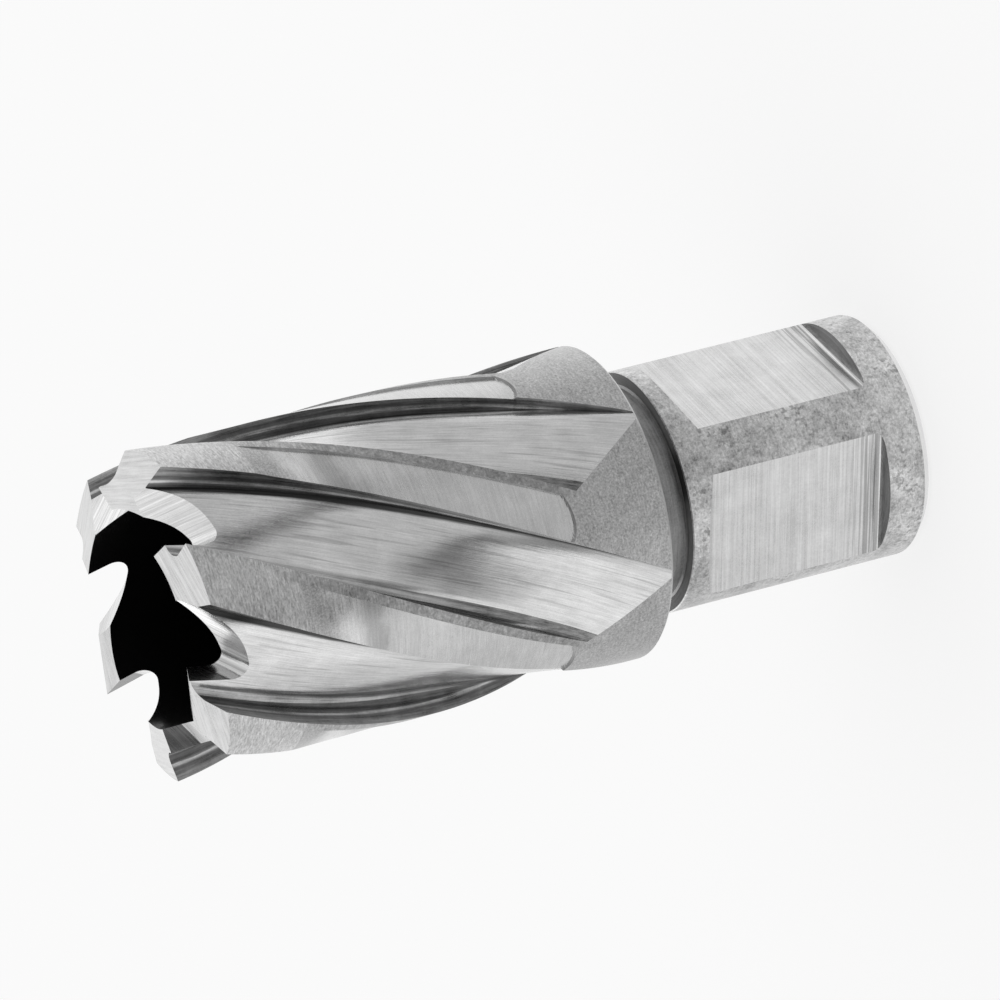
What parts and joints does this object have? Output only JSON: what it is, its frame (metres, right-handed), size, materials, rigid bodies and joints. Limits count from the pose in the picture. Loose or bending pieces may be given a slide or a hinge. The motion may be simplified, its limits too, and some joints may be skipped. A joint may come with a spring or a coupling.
{
  "type": "annular cutter",
  "caption": "Hollow steel hole cutter with helical flutes, a ring of ground teeth and a cylindrical shank with two clamping flats, for a magnetic drill.",
  "frame": {"origin": "centre of the shank's end face, on which the cutter stands", "axes": "+Z along the cutter's axis from the shank's end to the teeth; +X and +Y out of the two clamping flats"},
  "size_m": [0.0252, 0.0254, 0.0632],
  "materials": {
    "tool_steel": "ground, bright in the flutes and on the teeth, matt on the collar and shank"
  },
  "bodies": {
    "root": {"annular_cutter": "tool_steel"}
  },
  "joints": []
}
